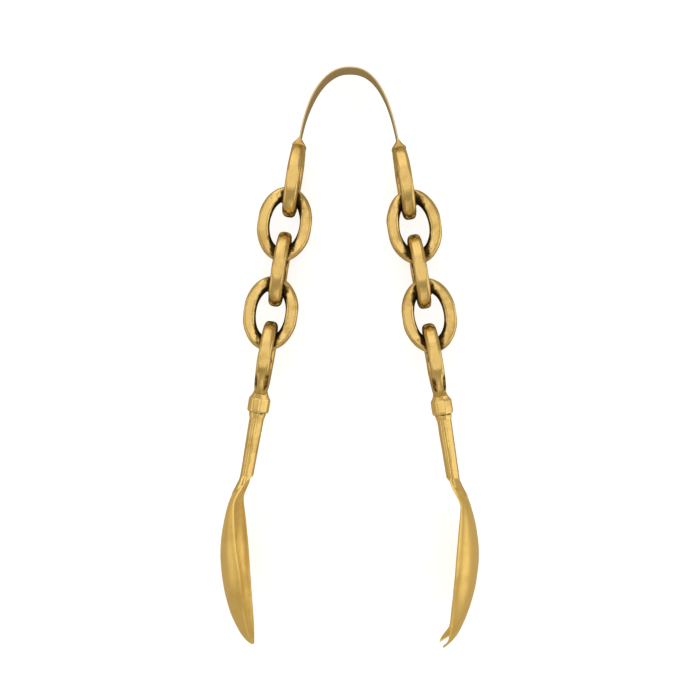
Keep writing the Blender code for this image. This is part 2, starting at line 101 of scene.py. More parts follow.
tongs = axes(Vector((1, 0, 0)), up_axis, depth_axis, crown_point())
print("crown of the bow at", [round(c, 4) for c in tongs.translation])

# %% Frames of the arms


def node_middle(node):
    """Middle of a node's box, which is the middle of a link."""
    low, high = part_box(node)
    return (low + high) / 2


def arm_axes(side):
    """An arm's frame, with its origin in the middle of the top link."""
    top = node_middle(f"{side}_top_link")
    y = (top - node_middle(f"{side}_middle_link")).normalized()
    z = depth_axis if side == "spoon" else -depth_axis
    return axes(y.cross(z), y, z, top)


def arm_box(node):
    """Lowest and highest corner of a node, in the frame of its arm."""
    back = arms[node.split("_")[0]].inverted()
    points = np.array([back @ v.co for v in frame["nodes"][node].data.vertices])
    return Vector(points.min(0)), Vector(points.max(0))


arms = {side: arm_axes(side) for side in SIDES}
for side in SIDES:
    lean = math.degrees(math.asin(arms[side].to_3x3().col[1].x))
    print(side, "arm leans", round(lean, 2), "degrees")

# %% [markdown]
# ## Camera
# The photograph looks down at the tongs along the swing axis. A pinhole half a metre away
# gives the right amount of perspective: the near rims of the bowls look a little larger
# than the far ones. One pixel covers 0.479 mm at the depth of the strip's middle.

# %% Camera over the tongs
VIEW_DISTANCE = 500 * MM
PIXEL = 0.479 * MM
FRAME_PIXELS = 700
CROWN_TO_CENTRE = 133.85 * MM
SIDE_STEP = 1 * PIXEL
SENSOR = 36.0

camera_data = bpy.data.cameras.new("photo_camera")
camera_data.sensor_width = SENSOR
camera_data.lens = SENSOR * VIEW_DISTANCE / (FRAME_PIXELS * PIXEL)
camera = bpy.data.objects.new("photo_camera", camera_data)
bpy.context.scene.collection.objects.link(camera)
camera.matrix_world = tongs @ Matrix.Translation((SIDE_STEP, -CROWN_TO_CENTRE, VIEW_DISTANCE))
bpy.context.scene.camera = camera
print("lens", round(camera_data.lens, 2), "mm")

# %% [markdown]
# ## Writing shaders as sums
# A node tree is a formula, so it reads best as one. This class holds one output socket.
# Adding or multiplying two of them adds a Math node, and the method `node` makes any
# other kind: its settings first, then the values or links of its sockets.

# %% Shader sockets that can be added and multiplied


class Shade:
    """One output socket of a node, which sums and products turn into Math nodes."""

    def __init__(self, socket):
        self.socket = socket
        self.tree = socket.id_data

    def node(self, kind, settings=None, sockets=None, out=0):
        """A new node of any kind in the same tree, as the socket that it gives out."""
        made = self.tree.nodes.new(kind)
        for name, value in (settings or {}).items():
            setattr(made, name, value)
        for name, value in (sockets or {}).items():
            if isinstance(value, Shade):
                self.tree.links.new(value.socket, made.inputs[name])
            else:
                made.inputs[name].default_value = value
        return Shade(made.outputs[out])

    def maths(self, operation, *values):
        settings = {"operation": operation}
        return self.node("ShaderNodeMath", settings, dict(enumerate(values)))

    def __add__(self, other):
        return self.maths("ADD", self, other)

    def __sub__(self, other):
        return self.maths("SUBTRACT", self, other)

    def __rsub__(self, other):
        return self.maths("SUBTRACT", other, self)

    def __mul__(self, other):
        return self.maths("MULTIPLY", self, other)

    __radd__ = __add__
    __rmul__ = __mul__

    def between(self, low, high):
        """0 below low, 1 above high and a smooth step between them."""
        sockets = {"Value": self, "From Min": low, "From Max": high}
        return self.node("ShaderNodeMapRange", {"interpolation_type": "SMOOTHSTEP"}, sockets)

    def tint(self, start, end):
        """A colour that goes from start to end as this value goes from 0 to 1."""
        sockets = {0: self, 6: start, 7: end}  # a Mix node has its two colours at 6 and 7
        return self.node("ShaderNodeMix", {"data_type": "RGBA"}, sockets, out=2)

    def noise(self, size, detail=3.0, roughness=0.55):
        """Cloudy noise whose patches are about as wide as size, in metres."""
        sockets = {"Vector": self, "Scale": 1 / size, "Detail": detail, "Roughness": roughness}
        return self.node("ShaderNodeTexNoise", None, sockets)

    def stretched(self, x, y, z):
        """This position with each of its axes scaled."""
        sockets = {0: self, 1: (x, y, z)}
        return self.node("ShaderNodeVectorMath", {"operation": "MULTIPLY"}, sockets)

    def feed(self, shader, name):
        """Links this socket to an input of the shader."""
        self.tree.links.new(self.socket, shader.inputs[name])


print("operators ready:", [name for name in vars(Shade) if name.startswith("__r")])

# %% [markdown]
# ## Aged brass
# Old brass is bright only where hands and cloths reach it, and edges that stand out get painted
# highlight as well. Brown and then black tarnish gathers in the hollows, with painted shade in the
# same places, the metal has small casting pits, and soldering left reddish spots of copper. Two
# values painted on the points of each mesh say where that is: `hollow` is how much of the sky a
# point cannot see, and `edge` how far it stands out.
# One set of nodes serves all the pieces, and each kind of piece has its own numbers for it.

# %% Five finishes
# tarnish sets how soon a piece turns to tarnish brown and painted shade in its hollows
LINK_FINISH = dict(
    body=(0.60, 0.395, 0.122), bright=(0.86, 0.61, 0.225), brown=(0.052, 0.029, 0.008),
    rim=(0.78, 0.64, 0.40), rough=0.25, tarnish_and_shade=0.13, pits=0.3, spots=0.15, metal=1.0, relief=0.24,
)
SHANK_FINISH = dict(
    LINK_FINISH, body=(0.69, 0.463, 0.142), bright=(0.94, 0.68, 0.245),
    rough=0.22, tarnish_and_shade=0.05, metal=0.8, relief=0.08,
)
BOWL_FINISH = dict(
    body=(0.76, 0.497, 0.134), bright=(0.93, 0.652, 0.20), brown=(0.12, 0.068, 0.018),
    rim=(1.0, 0.90, 0.74), rough=0.37, tarnish_and_shade=-0.06, pits=0.1, spots=0.1, metal=0.75, relief=0.10,
)
BOW_FINISH = dict(
    body=(0.67, 0.525, 0.30), bright=(0.80, 0.62, 0.35), brown=(0.18, 0.11, 0.045),
    rim=(0.52, 0.44, 0.31), rough=0.42, tarnish_and_shade=-0.1, pits=0.2, spots=0.2, metal=1.0, relief=0.2,
)
SOLDER_FINISH = dict(
    body=(0.58, 0.365, 0.125), bright=(0.78, 0.53, 0.21), brown=(0.15, 0.072, 0.024),
    rim=(0.78, 0.60, 0.36), rough=0.36, tarnish_and_shade=-0.3, pits=0.4, spots=0.8, metal=0.95, relief=0.4,
)
COPPER = (0.30, 0.085, 0.035, 1.0)
print("roughness: links", LINK_FINISH["rough"], "bowls", BOWL_FINISH["rough"])

# %% [markdown]
# The noises are in object space and sized in millimetres, so every piece has the same grain.
# Tarnish, film, polish, pits and copper are each a sum of them with `hollow` and `edge`,
# squeezed into the range from 0 to 1; tarnish and film hold painted shade, and polish and the band
# at the rim of a hollow hold painted highlight. The weights were found beside the photograph.

# %% Brass as a formula
CLOUD, MOTTLE, BLOT, SPECK, STREAK = 13 * MM, 3.2 * MM, 2.1 * MM, 0.9 * MM, 0.55 * MM
ALONG_THE_ARM = (1.0, 0.12, 1.0)
RELIEF_HEIGHT = 0.35 * MM


def opaque(colour):
    """A colour with the fourth value that sockets ask for."""
    return (*colour, 1.0)


def brass(name, finish):
    """A brass material whose colour, polish and relief follow one of the finishes."""
    material = bpy.data.materials.new(name)
    material.use_nodes = True
    shader = material.node_tree.nodes["Principled BSDF"]
    shader.inputs["Specular Tint"].default_value = opaque(finish["rim"])
    start = Shade(shader.outputs["BSDF"])
    place = start.node("ShaderNodeTexCoord", out="Object")
    hollow = start.node("ShaderNodeAttribute", {"attribute_name": "hollow"}, out="Fac")
    edge = start.node("ShaderNodeAttribute", {"attribute_name": "edge"}, out="Fac")
    cloud = place.noise(CLOUD)
    mottle = place.noise(MOTTLE, detail=5.0, roughness=0.62)
    speck = place.noise(SPECK, detail=2.0)
    streak = place.stretched(*ALONG_THE_ARM).noise(STREAK, detail=2.0)

    # patina and painted shade: where the rays from a point soon meet metal, the colour goes to
    # tarnish brown, which stands for the shade that falls in the hollows as well as their tarnish
    dirt_and_shade = hollow + (mottle - 0.5) * 0.42 + (cloud - 0.5) * 0.30 - edge * 0.25
    tarnish_and_shade = (dirt_and_shade + finish["tarnish_and_shade"]).between(0.33, 0.50)
    # cloudy film and painted shade: it grows with `hollow` and pulls the colour back to the body
    # tone
    film_and_shade = (hollow + (cloud - 0.5) * 1.2 + (mottle - 0.5) * 0.5).between(-0.05, 0.42)
    # painted highlight with rubbed wear: a bright band along the rim of each hollow
    rub_and_highlight = hollow.between(0.08, 0.20) * (1 - hollow.between(0.20, 0.32))
    # rubbed wear and painted highlight: points that stand out go to the bright colour
    polish_and_highlight = (edge * 1.1 + rub_and_highlight * 0.6 + 0.5 - film_and_shade * 0.7).between(0.0, 1.0)
    pits = (speck + (mottle - 0.5) * 0.3).between(0.34, 0.28) * finish["pits"]
    copper = place.noise(BLOT, detail=4.0).between(0.60, 0.70)
    copper = copper * hollow.between(0.12, 0.5) * (0.5 * finish["spots"])

    metal = polish_and_highlight.tint(opaque(finish["body"]), opaque(finish["bright"]))
    metal = copper.tint(metal, COPPER)
    metal = tarnish_and_shade.tint(metal, opaque(finish["brown"]))
    metal = pits.tint(metal, opaque(finish["brown"]))
    metal.feed(shader, "Base Color")
    (finish["metal"] - tarnish_and_shade * 0.2).feed(shader, "Metallic")
    wear = finish["rough"] + tarnish_and_shade * 0.25 + pits * 0.2 + (mottle - 0.5) * 0.14
    (wear + (streak - 0.5) * 0.10 + film_and_shade * 0.06).feed(shader, "Roughness")
    height = mottle * 0.5 + streak * 0.08 + speck * 0.08 - pits * 0.3
    bump = start.node(
        "ShaderNodeBump", None,
        {"Strength": finish["relief"], "Distance": RELIEF_HEIGHT, "Height": height}, out="Normal",
    )
    bump.feed(shader, "Normal")
    return material


finishes = {
    "aged_brass": brass("worn_link_brass", LINK_FINISH),
    "shank_brass": brass("rubbed_shank_brass", SHANK_FINISH),
    "bowl_brass": brass("satin_bowl_brass", BOWL_FINISH),
    "bow_brass": brass("browned_strip_brass", BOW_FINISH),
    "solder": brass("flowed_solder", SOLDER_FINISH),
}
print("finishes:", ", ".join(finishes))

# %% [markdown]
# ## Skins over rows of sections
# Almost every piece is a bar whose section changes as it runs, so one helper skins a row
# of sections. A second one leaves the surface uneven: it moves each point along its normal,
# by hundredths of a millimetre on filed brass and tenths on solder, with a noise that is the
# same on every run.

# %% Skin and hand-worked surface
WAVE_LENGTH, RIPPLE_LENGTH = 7 * MM, 2.2 * MM
SEED_STEP = (1.7, 0.9, 2.3)


def skin(rings, closed=False):
    """A mesh over sections of equal count; an open row gets a face at each end."""
    bm = bmesh.new()
    rows = [[bm.verts.new(point) for point in ring] for ring in rings]
    count = len(rows[0])
    for row in range(len(rows) if closed else len(rows) - 1):
        here, there = rows[row], rows[(row + 1) % len(rows)]
        for i in range(count):
            j = (i + 1) % count
            bm.faces.new((here[i], here[j], there[j], there[i]))
    if not closed:
        bm.faces.new(rows[0])
        bm.faces.new(rows[-1])
    return bm


def work_surface(bm, broad, fine, seed):
    """Leaves the shallow unevenness of a casting that was filed and polished by hand."""
    shift = Vector([seed * step for step in SEED_STEP])
    bm.normal_update()
    moves = []
    for vert in bm.verts:
        wave = noise.noise(vert.co / WAVE_LENGTH + shift) * broad
        ripple = noise.noise(vert.co / RIPPLE_LENGTH + shift) * fine
        moves.append(vert.normal * (wave + ripple))
    for vert, move in zip(bm.verts, moves):
        vert.co += move


print("waves and ripples of", [round(size / MM, 1) for size in (WAVE_LENGTH, RIPPLE_LENGTH)], "mm")

# %% [markdown]
# The sections are ovals that can be squared off. A finished skin becomes an object with a
# finish.

# %% Sections and finished pieces
SOFT_EDGE = 40  # degrees; a crease sharper than this is not shaded smooth
pieces = []


def add_piece(name, bm, finish, place, sharp=SOFT_EDGE):
    """Makes an object of a skin, with its points already in the frame of the packed model."""
    bmesh.ops.recalc_face_normals(bm, faces=bm.faces)
    bm.transform(place)
    mesh = bpy.data.meshes.new(name)
    bm.to_mesh(mesh)
    bm.free()
    mesh.shade_smooth()
    mesh.set_sharp_from_angle(angle=math.radians(sharp))
    mesh.materials.append(finishes[finish])
    piece = bpy.data.objects.new(name, mesh)
    bpy.context.scene.collection.objects.link(piece)
    pieces.append(piece)
    return piece


def oval_section(half_width, half_depth, power, count, inner_power=None):
    """Points of a squared-off oval: power 2 is a true oval, and more is squarer."""
    points = []
    for i in range(count):
        angle = 2 * math.pi * (i + 0.5) / count
        c, s = math.cos(angle), math.sin(angle)
        shape = 2 / (inner_power if inner_power and c < 0 else power)
        points.append((
            half_width * math.copysign(abs(c) ** shape, c),
            half_depth * math.copysign(abs(s) ** shape, s),
        ))
    return points


def smoothstep(value):
    """0 below 0, 1 above 1 and a smooth step between them."""
    value = min(max(value, 0.0), 1.0)
    return value * value * (3 - 2 * value)


print("section of", len(oval_section(1, 1, 3, 32)), "points")

# %% [markdown]
# ## Spring bow
# The real bow is one strip of hard brass, wider at the crown and bent on a former. Squeezing
# the tongs bends it, so a rigid copy would tear away from the arms. It is made as two
# halves that meet at the crown: each follows the bow there, follows its arm at the lower
# end, and turns smoothly between the two.

# %% Line of the strip
BOW_HALF_SPAN = 23.5 * MM
BOW_RISE = {"spoon": 34.4 * MM, "fork": 35.6 * MM}
BOW_FULLNESS = {"spoon": 0.94, "fork": 0.82}
BOW_TAIL = 1.2 * MM
BOW_STEPS = 56


def strip_line(side):
    """Points and directions down one half of the bow, in the tongs' frame."""
    sign = -1 if side == "spoon" else 1
    lean = abs(math.asin(arms[side].to_3x3().col[1].x))
    fullness = BOW_FULLNESS[side]
    share = math.tan(lean) * BOW_RISE[side] / (BOW_HALF_SPAN * fullness)
    last = math.acos(share / (1 - share))
    wide = BOW_HALF_SPAN / math.sin(last) ** fullness
    high = BOW_RISE[side] / (1 - math.cos(last))
    angles = [last * step / BOW_STEPS for step in range(BOW_STEPS + 1)]
    points = [
        Vector((sign * wide * math.sin(a) ** fullness, -high * (1 - math.cos(a)), 0))
        for a in angles
    ]
    runs = [Vector((sign, 0, 0))]
    for before, after in zip(points, points[2:]):
        runs.append((after - before).normalized())
    runs.append(Vector((sign * math.sin(lean), -math.cos(lean), 0)))
    points.append(points[-1] + runs[-1] * BOW_TAIL)
    runs.append(runs[-1])
    return points, runs


for side in SIDES:
    points, _ = strip_line(side)
    length = sum((after - before).length for before, after in zip(points, points[1:]))
    print(side, "half of the strip is", round(length / MM, 1), "mm long")

# %% Two halves of the strip
BOW_TWIST = {"spoon": math.radians(4.8), "fork": 0.0}
BOW_CROWN_WIDTH = 13.2 * MM
BOW_END_WIDTH = 9.0 * MM
STRIP_ROUND = 36
STRIP_SQUARENESS = 9.0
STRIP_WAVE, STRIP_SEED = 0.05 * MM, 3.0
bow_halves = {}
for side in SIDES:
    points, runs = strip_line(side)
    rings = []
    for step, (point, run) in enumerate(zip(points, runs)):
        out = Vector((-run.y, run.x, 0))
        away = min(step / BOW_STEPS, 1.0)
        width = BOW_CROWN_WIDTH + (BOW_END_WIDTH - BOW_CROWN_WIDTH) * smoothstep(away)
        lean_in = -math.tan(BOW_TWIST[side]) * math.sin(math.pi * away)
        section = oval_section(BOW_THICKNESS / 2, width / 2, STRIP_SQUARENESS, STRIP_ROUND)
        rings.append([point + out * t + Vector((lean_in * z, 0, z)) for t, z in section])
    bm = skin(rings)
    work_surface(bm, STRIP_WAVE, 0.0, STRIP_SEED)
    bow_halves[side] = add_piece(f"{side}_half_of_bow", bm, "bow_brass", tongs)
    print(bow_halves[side].name, len(bow_halves[side].data.vertices), "points")

# %% [markdown]
# ## Solder roofs
# Each end of the strip was stood on the top link and flooded with solder, which drew up
# into a steep little roof. It is a row of sections from the ridge down to the skirt,
# then roughened, because cooled solder is never flat.

# %% Roof of solder at each end of the strip
ROOF = (  # height over the link, half width across the strip and half length, in millimetres
    (2.1, 0.62, 4.75), (1.7, 0.85, 4.95), (1.1, 1.25, 5.15), (0.4, 1.85, 5.35),
    (-0.4, 2.55, 5.5), (-1.1, 3.15, 5.6), (-1.7, 3.35, 5.5), (-2.4, 3.2, 5.2),
)
ROOF_SQUARENESS, ROOF_ROUND = 4.0, 48
ROOF_WAVE, ROOF_RIPPLE = 0.28 * MM, 0.16 * MM
ROOF_SEED = {"spoon": 11.0, "fork": 15.0}
roofs = {}
for side in SIDES:
    link_top = arm_box(f"{side}_top_link")[1].y
    rings = []
    for height, half_x, half_z in ROOF:
        section = oval_section(half_x * MM, half_z * MM, ROOF_SQUARENESS, ROOF_ROUND)
        rings.append([(x, link_top + height * MM, z) for x, z in section])
    bm = skin(rings)
    bmesh.ops.subdivide_edges(bm, edges=bm.edges[:], cuts=1, use_grid_fill=True)
    work_surface(bm, ROOF_WAVE, ROOF_RIPPLE, ROOF_SEED[side])
    roofs[side] = add_piece(f"{side}_solder_roof", bm, "solder", arms[side])
    print(roofs[side].name, len(roofs[side].data.vertices), "points")

# %% [markdown]
# ## Oval links
# Each link is a cast oval ring: a flat-faced bar at the flanks, a rounder one at the ends,
# where it hangs in its neighbour. The flanks were filed flat. The ring is skinned from
# sections that follow an oval, and every link gets its own unevenness. The lowest one is
# half a ring that closes into a neck, filed to a ridge in front and behind.

# %% Sizes of a link
LINK_SIDE_BAR = 5.7 * MM
LINK_END_BAR = 6.6 * MM
FLANK_FILING = 0.35 * MM
FILING_BREAK = 0.12 * MM
NECK_WIDTH = 6.2 * MM
NECK_FLARE = 1.6
NECK_DROP = 17.3 * MM
NECK_TAIL = 1.2 * MM
EYE_DROP = 9.0 * MM
LINK_STATIONS = 112
LINK_ROUND = 48

top_low, top_high = arm_box("spoon_top_link")
link_size = top_high - top_low
LINK_HALF_LENGTH = link_size.y / 2
LINK_HALF_WIDTH = link_size.z / 2
LINK_HALF_DEPTH = link_size.x / 2
print("a link is", [round(size / MM, 2) for size in (link_size.z, link_size.y, link_size.x)], "mm")

# %% [markdown]
# A section is squarer at the flanks than at the ends, and squarer outside than in the eye.
# On the neck, `ridge` grows from the eye down and fades out again above the ferrule. The
# slopes beside it get painted shade, and at the neck's foot, by the ferrule, the tarnish and painted
# shade are lifted.

# %% Sections round a link
FLANK_POWER, END_POWER = 3.8, 2.8
INNER_FLANK_POWER, INNER_END_POWER = 3.2, 2.4
RIDGE_HALF_WIDTH, RIDGE_SLOPE = 1.1 * MM, 1.1
RIDGE_START, RIDGE_RISE = 0.22, 0.34  # shares of the way down to the end of the neck
RIDGE_END, RIDGE_FADE = 0.94, 0.14
# painted shade on the slopes beside the ridge, and the width over which it blends in
RIDGE_SHADE, RIDGE_SHADE_BLEND = 0.32, 0.7 * MM
FOOT_START, FOOT_FADE, FOOT_RUB = 0.86, 0.08, 0.6


def link_rings(has_neck):
    """Sections round a link that lies flat in XY with its length on Y, and their painted shade and
    lifts.
    """
    crown = LINK_HALF_WIDTH + FLANK_FILING
    eye_length = LINK_HALF_LENGTH - LINK_END_BAR
    eye_width = LINK_HALF_WIDTH - LINK_SIDE_BAR
    half_neck = NECK_WIDTH / 2
    rings, shade_and_lift = [], []
    for station in range(LINK_STATIONS):
        angle = 2 * math.pi * station / LINK_STATIONS
        across, along = math.sin(angle), math.cos(angle)
        outer = Vector((crown * across, LINK_HALF_LENGTH * along))
        inner = Vector((eye_width * across, eye_length * along))
        end = along * along
        half_depth, ridge = LINK_HALF_DEPTH, 0.0
        power = FLANK_POWER + (END_POWER - FLANK_POWER) * end
        inner_power = INNER_FLANK_POWER + (INNER_END_POWER - INNER_FLANK_POWER) * end
        if has_neck and along < 0:
            flare = abs(across) ** NECK_FLARE
            reach = half_neck + (crown - half_neck) * flare
            outer.x = 0.0 if 2 * station == LINK_STATIONS else math.copysign(reach, across)
            outer.y = (NECK_DROP + NECK_TAIL) * along
            inner.y = EYE_DROP * along
            half_depth += (half_neck - LINK_HALF_DEPTH) * end
            ridge = smoothstep((-along - RIDGE_START) / RIDGE_RISE)
            ridge *= smoothstep((along + RIDGE_END) / RIDGE_FADE)
        middle = (outer + inner) / 2
        out = (outer - inner).normalized()
        half_bar = (outer - inner).length / 2
        clean = smoothstep((-along - FOOT_START) / FOOT_FADE) if has_neck else 0.0
        ring = []
        for width, depth in oval_section(half_bar, half_depth, power, LINK_ROUND, inner_power):
            slope = RIDGE_SLOPE * max(abs(depth) - RIDGE_HALF_WIDTH, 0.0)
            point = middle + out * min(width, half_bar - ridge * slope)
            spare = LINK_HALF_WIDTH - abs(point.x)
            filed = LINK_HALF_WIDTH - (spare + math.hypot(spare, FILING_BREAK)) / 2
            ring.append((math.copysign(filed, point.x), point.y, depth))
            # painted shade on the slopes beside the ridge; at the foot the tarnish and painted shade
            # are lifted instead
            beside = smoothstep((abs(depth) - RIDGE_HALF_WIDTH) / RIDGE_SHADE_BLEND)
            painted_shade = RIDGE_SHADE * ridge * beside * (width > 0)
            shade_and_lift.append(painted_shade * (1 - clean) - FOOT_RUB * clean)
        rings.append(ring)
    return rings, shade_and_lift


print("a link has", LINK_STATIONS, "sections of", LINK_ROUND, "points")

# %% Ten links in their places
LINK_NAMES = ("top_link", "upper_link", "middle_link", "lower_link", "end_link")
QUARTER_TURN = Matrix.Rotation(math.radians(90), 4, "Y")
LINK_WAVE, LINK_RIPPLE = 0.16 * MM, 0.05 * MM
LINK_SEED, LINK_SEED_STEP = {"spoon": 0, "fork": 20}, 3.1
LINK_SHARP = 60
pitches, link_pieces, extra_shade_and_lift = {}, {}, {}
for side in SIDES:
    two_links = node_middle(f"{side}_top_link") - node_middle(f"{side}_middle_link")
    pitches[side] = two_links.length / 2
    for index, link in enumerate(LINK_NAMES):
        low, high = arm_box(f"{side}_{link}")
        middle = Vector(((low.x + high.x) / 2, -pitches[side] * index, 0))
        rings, shade_and_lift = link_rings(link == "end_link")
        bm = skin(rings, closed=True)
        work_surface(bm, LINK_WAVE, LINK_RIPPLE, index * LINK_SEED_STEP + LINK_SEED[side])
        turn = Matrix.Identity(4) if index % 2 else QUARTER_TURN
        place = arms[side] @ Matrix.Translation(middle) @ turn
        name = f"{side}_{link}"
        link_pieces[name] = add_piece(f"{name}_cast", bm, "aged_brass", place, LINK_SHARP)
        extra_shade_and_lift[link_pieces[name]] = np.array(shade_and_lift)
    print(side, "arm: links every", round(pitches[side] / MM, 2), "mm")

# %% [markdown]
# ## Braze between the links
# A loose chain could not push a spoon, so each link was brazed where it hangs in the next.
# A bead of braze fills the saddle between the two bars. It ran together as a drop, wide and
# thin, and cooled rough and a little off the middle; most of it lies inside the bars, and
# only its edge shows.

# %% Beads of braze
BEAD_HALF_SIZE = (3.6 * MM, 1.8 * MM, 3.2 * MM)
BEAD_SHIFT = 0.5 * MM
BEAD_WAVE, BEAD_RIPPLE = 0.5 * MM, 0.3 * MM
BEAD_SEED, BEAD_SEED_STEP, BEAD_SIDE_SEED = 40, 2.3, {"spoon": 0, "fork": 9}
beads = {}
for side in SIDES:
    for index in range(len(LINK_NAMES) - 1):
        upper, lower = (arm_box(f"{side}_{LINK_NAMES[i]}") for i in (index, index + 1))
        contact = -pitches[side] * (index + 0.5)
        across = sum((box[0].x + box[1].x) / 2 for box in (upper, lower)) / 2
        bm = bmesh.new()
        bmesh.ops.create_icosphere(bm, subdivisions=4, radius=1.0)
        bmesh.ops.scale(bm, vec=BEAD_HALF_SIZE, verts=bm.verts)
        seed = BEAD_SEED + index * BEAD_SEED_STEP + BEAD_SIDE_SEED[side]
        work_surface(bm, BEAD_WAVE, BEAD_RIPPLE, seed)
        shift = BEAD_SHIFT if index % 2 else -BEAD_SHIFT
        place = arms[side] @ Matrix.Translation((across + shift, contact, 0))
        name = f"{side}_braze_{index + 1}"
        beads[name] = add_piece(name, bm, "solder", place)
    print(side, "arm: lowest bead at", [round(c, 4) for c in place.translation])

# %% [markdown]
# ## Ferrules
# The ferrule is a short faceted barrel that takes the neck from above and the shank from
# below. Its eight flats were filed, so their corners are only just broken. Over the barrel a
# fillet of braze runs up on the neck, full in depth and lifted clear of tarnish and painted shade.
# Under it a small step is darkened with painted shadow, the dark line that sets it off from the
# tapered foot.

# %% Section with eight flats
FACETS = 8
FACET_POINTS = 6
FACET_TURN = math.radians(11.0)
FLAT_SHARE = 0.9  # of a facet; the rest is its broken corners


def facet_ring(radius, down):
    """An eight-sided section at a distance down, its corners just broken."""
    ring = []
    for i in range(FACETS * FACET_POINTS):
        from_flat = ((i % FACET_POINTS) + 0.5) / FACET_POINTS - 0.5
        angle = FACET_TURN + 2 * math.pi * (i // FACET_POINTS + from_flat) / FACETS
        limit = FLAT_SHARE / 2
        held = min(max(from_flat, -limit), limit)
        reach = radius / math.cos(2 * math.pi * held / FACETS)
        ring.append((reach * math.cos(angle), -down, reach * math.sin(angle)))
    return ring


print("a ferrule's section has", len(facet_ring(1.0, 0.0)), "points")

# %% Ferrules
BARREL = (  # distance down from the top, radius to the flats, in millimetres
    (-2.4, 2.8), (-1.8, 3.1), (-1.1, 3.3), (-0.4, 3.55), (0.3, 3.85), (1.75, 4.72),
    (2.1, 4.86), (2.6, 4.9), (5.0, 4.9), (7.2, 4.9), (7.7, 4.85), (8.2, 4.68), (8.45, 4.45),
    (8.5, 3.9), (8.9, 3.85), (9.6, 3.8), (11.1, 3.5), (11.3, 3.35), (11.4, 2.6),
)
FILLET_FOOT, FILLET_HEIGHT, FILLET_FULLNESS = 1.75, 2.5, 0.45
FILLET_END, FILLET_RUB = 0.5, -0.6
# painted shadow: rows in the undercut below the barrel are darkened by this much
UNDERCUT, UNDERCUT_SHADOW = (8.4, 9.0), 0.22
FILED_WAVE, FILED_RIPPLE, FILED_SHARP = 0.08 * MM, 0.03 * MM, 24
FERRULE_SEED = {"spoon": 60.0, "fork": 66.0}
ferrule_ends, ferrule_pieces = {}, {}
for side in SIDES:
    low, high = arm_box(f"{side}_ferrule")
    ferrule_ends[side] = Vector((0, low.y, 0))
    rings = []
    for down, radius in BARREL:
        full = 1 + FILLET_FULLNESS * smoothstep((FILLET_FOOT - down) / FILLET_HEIGHT)
        rings.append([(x, y, z * full) for x, y, z in facet_ring(radius * MM, down * MM)])
    bm = skin(rings)
    work_surface(bm, FILED_WAVE, FILED_RIPPLE, FERRULE_SEED[side])
    place = arms[side] @ Matrix.Translation((0, high.y, 0))
    ferrule = add_piece(f"{side}_faceted_ferrule", bm, "shank_brass", place, FILED_SHARP)
    ferrule_pieces[side] = ferrule
    # the fillet is lifted clear of tarnish and painted shade so it shows as a bright shoulder, and
    # the undercut gets painted shadow
    rub_and_highlight = [FILLET_RUB if down < FILLET_END else 0.0 for down, _ in BARREL]
    painted_shade = [UNDERCUT_SHADOW if UNDERCUT[0] < down < UNDERCUT[1] else 0.0 for down, _ in BARREL]
    extra_shade_and_lift[ferrule] = np.repeat(np.add(rub_and_highlight, painted_shade), len(rings[0]))
    print(side, "ferrule is", round((high.y - low.y) / MM, 2), "mm long")

# %% [markdown]
# ## Form of the bowls
# A bowl was beaten from thick sheet: a deep oval hollow whose rim leans in at the other
# bowl, running back into a narrow neck. One function gives the section at any distance down
# from the ferrule, as half an oval outside and a smaller half oval inside. The shank needs it
# too, because its tail swells out to the same back.

# %% Sizes of a bowl
SHANK_LENGTH = 31.0 * MM
BOWL_NECK_RUN = 43.0 * MM
BOWL_TIP_RUN = {"spoon": 35.6 * MM, "fork": 37.0 * MM}
BOWL_NECK_LEAD = 3.0 * MM
BOWL_HALF_WIDTH = 21.0 * MM
BOWL_HALF_NECK = 3.5 * MM
BOWL_DEPTH = 12.1 * MM
BOWL_WALL = 1.4 * MM
BOWL_TILT = math.radians(13.4)
BOWL_CLOSING = {"spoon": 0.55, "fork": 0.8}
RIM_REACH = 6.5 * MM
RIM_SWEEP = {"spoon": 2.0 * MM, "fork": 1.0 * MM}
RIM_CUT = {"spoon": 0.0, "fork": 1.5 * MM}
BACK_CUT = {"spoon": 0.8 * MM, "fork": 0.0}
NECK_LIFT = 4.9 * MM
NECK_TUCK = 1.2 * MM
NECK_BLEND = 14.0 * MM
NECK_TWIST = {"spoon": math.radians(6.0), "fork": 0.0}
TROUGH_RUN = 12.0 * MM
TINE_CURL = 3.6 * MM
TINE_LENGTH = 7.5 * MM
TINE_TWIST = math.radians(12.0)
TWIST_LEAD = 1 / 3  # under 1, so the neck's twist is strongest near its root
LEAST_INNER = 1 / 3  # of the outer half width, which keeps the hollow open at the tip
ROOT = SHANK_LENGTH - BOWL_NECK_LEAD
DEEPEST = ROOT + BOWL_NECK_RUN
print("a bowl is deepest", round(DEEPEST / MM, 1), "mm below the ferrule")

# %% Profile of a bowl


